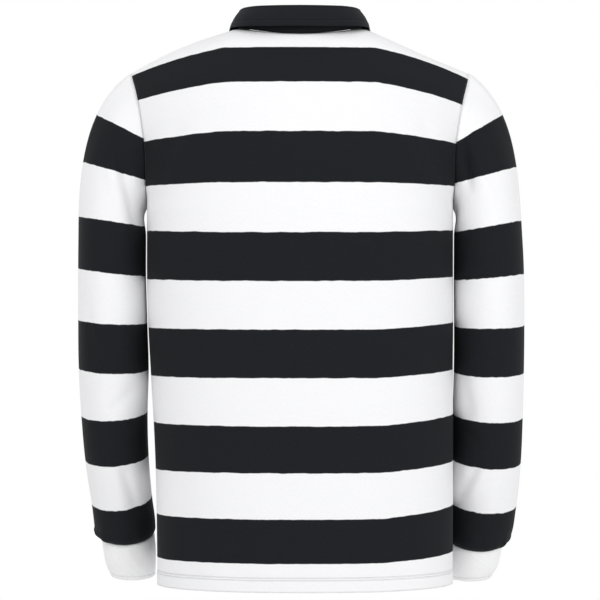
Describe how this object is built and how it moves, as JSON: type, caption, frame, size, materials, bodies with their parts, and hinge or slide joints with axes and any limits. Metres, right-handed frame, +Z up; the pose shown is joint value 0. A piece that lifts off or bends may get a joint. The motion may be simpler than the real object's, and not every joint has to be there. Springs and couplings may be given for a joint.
{
  "type": "long-sleeved rugby shirt",
  "caption": "Worn, hollow long-sleeved rugby shirt in black and white hoops, with a fold-down collar, ribbed cuffs and a short front placket.",
  "frame": {"origin": "where the wearer's shoulders and neck carry the shirt: the centre of the neck opening, at the height of the shoulder seams' neck ends", "axes": "+X to the wearer's right, +Y the way the wearer faces, +Z up"},
  "size_m": [0.5719, 0.2592, 0.7379],
  "materials": {
    "jersey_hooped": "matte cotton jersey in black and white hoops",
    "rib_white": "matte white rib knit",
    "twill_black": "matte black cotton twill",
    "button_white": "smooth off-white resin"
  },
  "bodies": {
    "root": {"back": "jersey_hooped", "front": "jersey_hooped", "sleeve_left": "jersey_hooped", "sleeve_right": "jersey_hooped", "cuff_left": "rib_white", "cuff_right": "rib_white", "collar_stand": "twill_black", "collar_leaf": "twill_black", "placket": "twill_black", "button_1": "button_white", "button_2": "button_white"}
  },
  "joints": []
}
